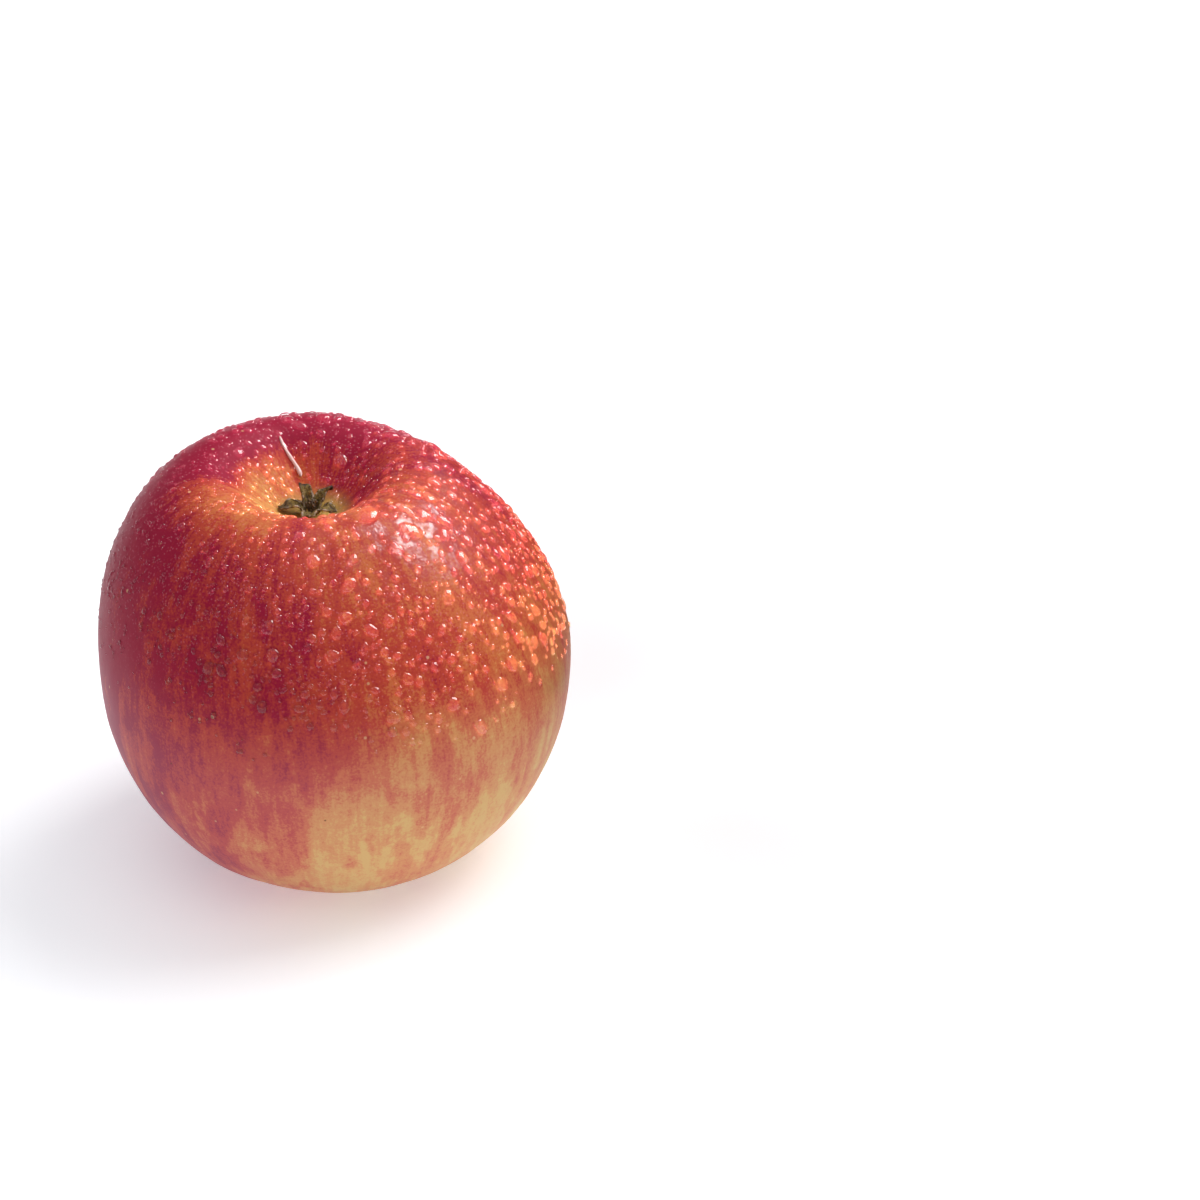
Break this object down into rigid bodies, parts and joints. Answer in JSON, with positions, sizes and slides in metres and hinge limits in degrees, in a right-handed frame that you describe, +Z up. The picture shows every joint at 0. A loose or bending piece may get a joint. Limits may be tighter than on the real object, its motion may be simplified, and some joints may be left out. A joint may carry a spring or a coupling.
{
  "type": "apple",
  "caption": "Whole fresh apple standing on its stem end, with dried sepals in the calyx basin on top and a short woody stem in the cavity underneath.",
  "frame": {"origin": "on the table plane, under the middle of the fruit's box", "axes": "+Z up from the stem end, which it stands on, to the calyx end; +X and +Y are level"},
  "size_m": [0.0796, 0.0804, 0.0707],
  "materials": {
    "skin": "waxy apple skin, streaked red over yellow",
    "sepal": "dry woolly leaf",
    "stamen": "dry fibres",
    "stem": "bark",
    "water": "clear water"
  },
  "bodies": {
    "root": {"fruit": "skin", "stamen_tuft": "stamen", "sepal_1": "sepal", "sepal_2": "sepal", "sepal_3": "sepal", "sepal_4": "sepal", "sepal_5": "sepal", "stem": "stem"}
  },
  "joints": []
}
